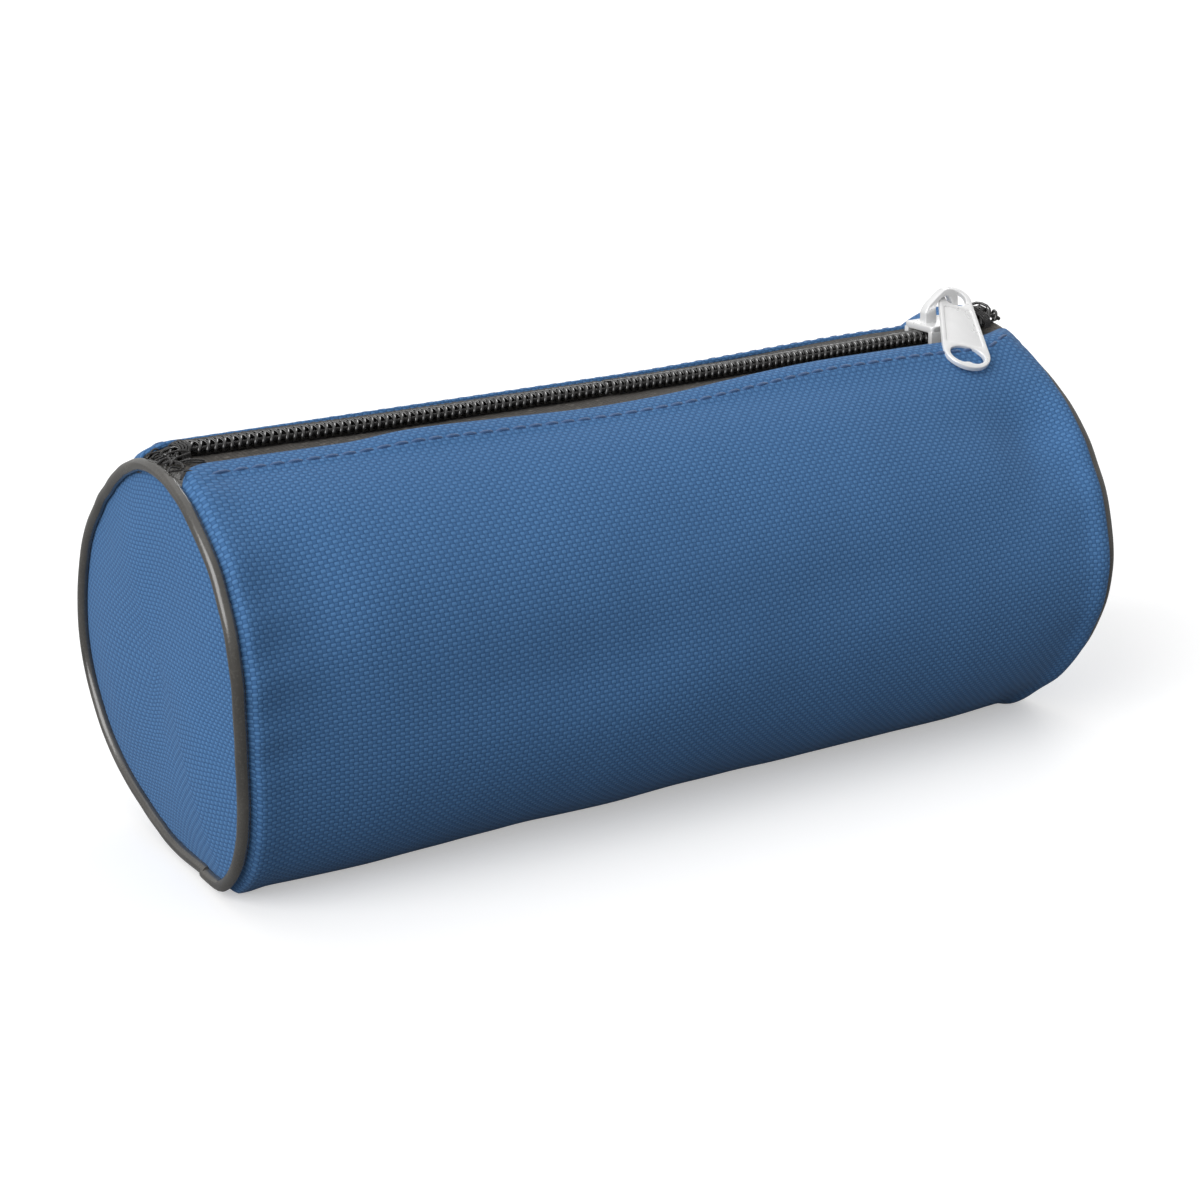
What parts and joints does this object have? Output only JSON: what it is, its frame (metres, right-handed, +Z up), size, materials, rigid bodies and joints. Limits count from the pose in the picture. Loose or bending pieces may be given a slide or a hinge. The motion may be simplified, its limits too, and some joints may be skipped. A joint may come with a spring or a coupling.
{
  "type": "pencil case",
  "caption": "Barrel pencil case of woven cloth with round piped ends, a coil zip along the top and a metal slider with a holed pull tab.",
  "frame": {"origin": "under the middle of the case, on the surface that it stands on", "axes": "+X along the barrel towards the end where the slider rests when the zip is closed, -Y towards the front, +Z up"},
  "size_m": [0.2, 0.083, 0.0908],
  "materials": {
    "blue_cloth": "basket-woven polyester, matte",
    "piping_vinyl": "semi-gloss vinyl with a fine grain",
    "filler_cord": "twisted cotton cord",
    "binding_tape": "woven tape",
    "zip_tape": "woven tape, matte",
    "zip_coil": "nylon monofilament, semi-gloss",
    "tack_thread": "polyester thread",
    "blue_thread": "polyester thread",
    "slider_metal": "pale satin plating",
    "pull_metal": "pale satin plating"
  },
  "bodies": {
    "case": {"barrel_panel": "blue_cloth", "end_panel_left": "blue_cloth", "end_panel_right": "blue_cloth", "piping_cover_left": "piping_vinyl", "piping_cover_right": "piping_vinyl", "piping_cord_left": "filler_cord", "piping_cord_right": "filler_cord", "seam_binding_left": "binding_tape", "seam_binding_right": "binding_tape", "seam_stitching_left": "blue_thread", "seam_stitching_right": "blue_thread", "zip_end_tapes_left": "zip_tape", "zip_end_tapes_right": "zip_tape", "zip_end_coils_left": "zip_coil", "zip_end_coils_right": "zip_coil", "bar_tack_left": "tack_thread", "bar_tack_right": "tack_thread", "hem_stitching_ends": "blue_thread"},
    "front_lip": {"front_lip_panel": "blue_cloth", "zip_tape_front": "zip_tape", "zip_coil_front": "zip_coil", "coil_cord_front": "filler_cord", "hem_stitching_front": "blue_thread"},
    "back_lip": {"back_lip_panel": "blue_cloth", "zip_tape_back": "zip_tape", "zip_coil_back": "zip_coil", "coil_cord_back": "filler_cord", "hem_stitching_back": "blue_thread"},
    "slider": {"slider_body": "slider_metal"},
    "pull": {"pull_tab": "pull_metal"}
  },
  "joints": [
    {"name": "slider_slide", "type": "slide", "parent": "case", "child": "slider", "axis": [-1, 0, 0], "range_m": [0, 0.168], "deforming": ["zip_coil_front", "zip_coil_back", "coil_cord_front", "coil_cord_back", "zip_end_coils_left", "zip_end_coils_right"]},
    {"name": "pull_lift", "type": "hinge", "parent": "slider", "child": "pull", "pos_m": [0.0875, 0, 0.08761], "axis": [-1, 0, 0], "range_deg": [0, 50]},
    {"name": "front_lip_open", "type": "hinge", "parent": "case", "child": "front_lip", "pos_m": [0, -0.03179, 0.06768], "axis": [1, 0, 0], "range_deg": [0, 35]},
    {"name": "back_lip_open", "type": "hinge", "parent": "case", "child": "back_lip", "pos_m": [0, 0.03179, 0.06768], "axis": [-1, 0, 0], "range_deg": [0, 35]}
  ]
}
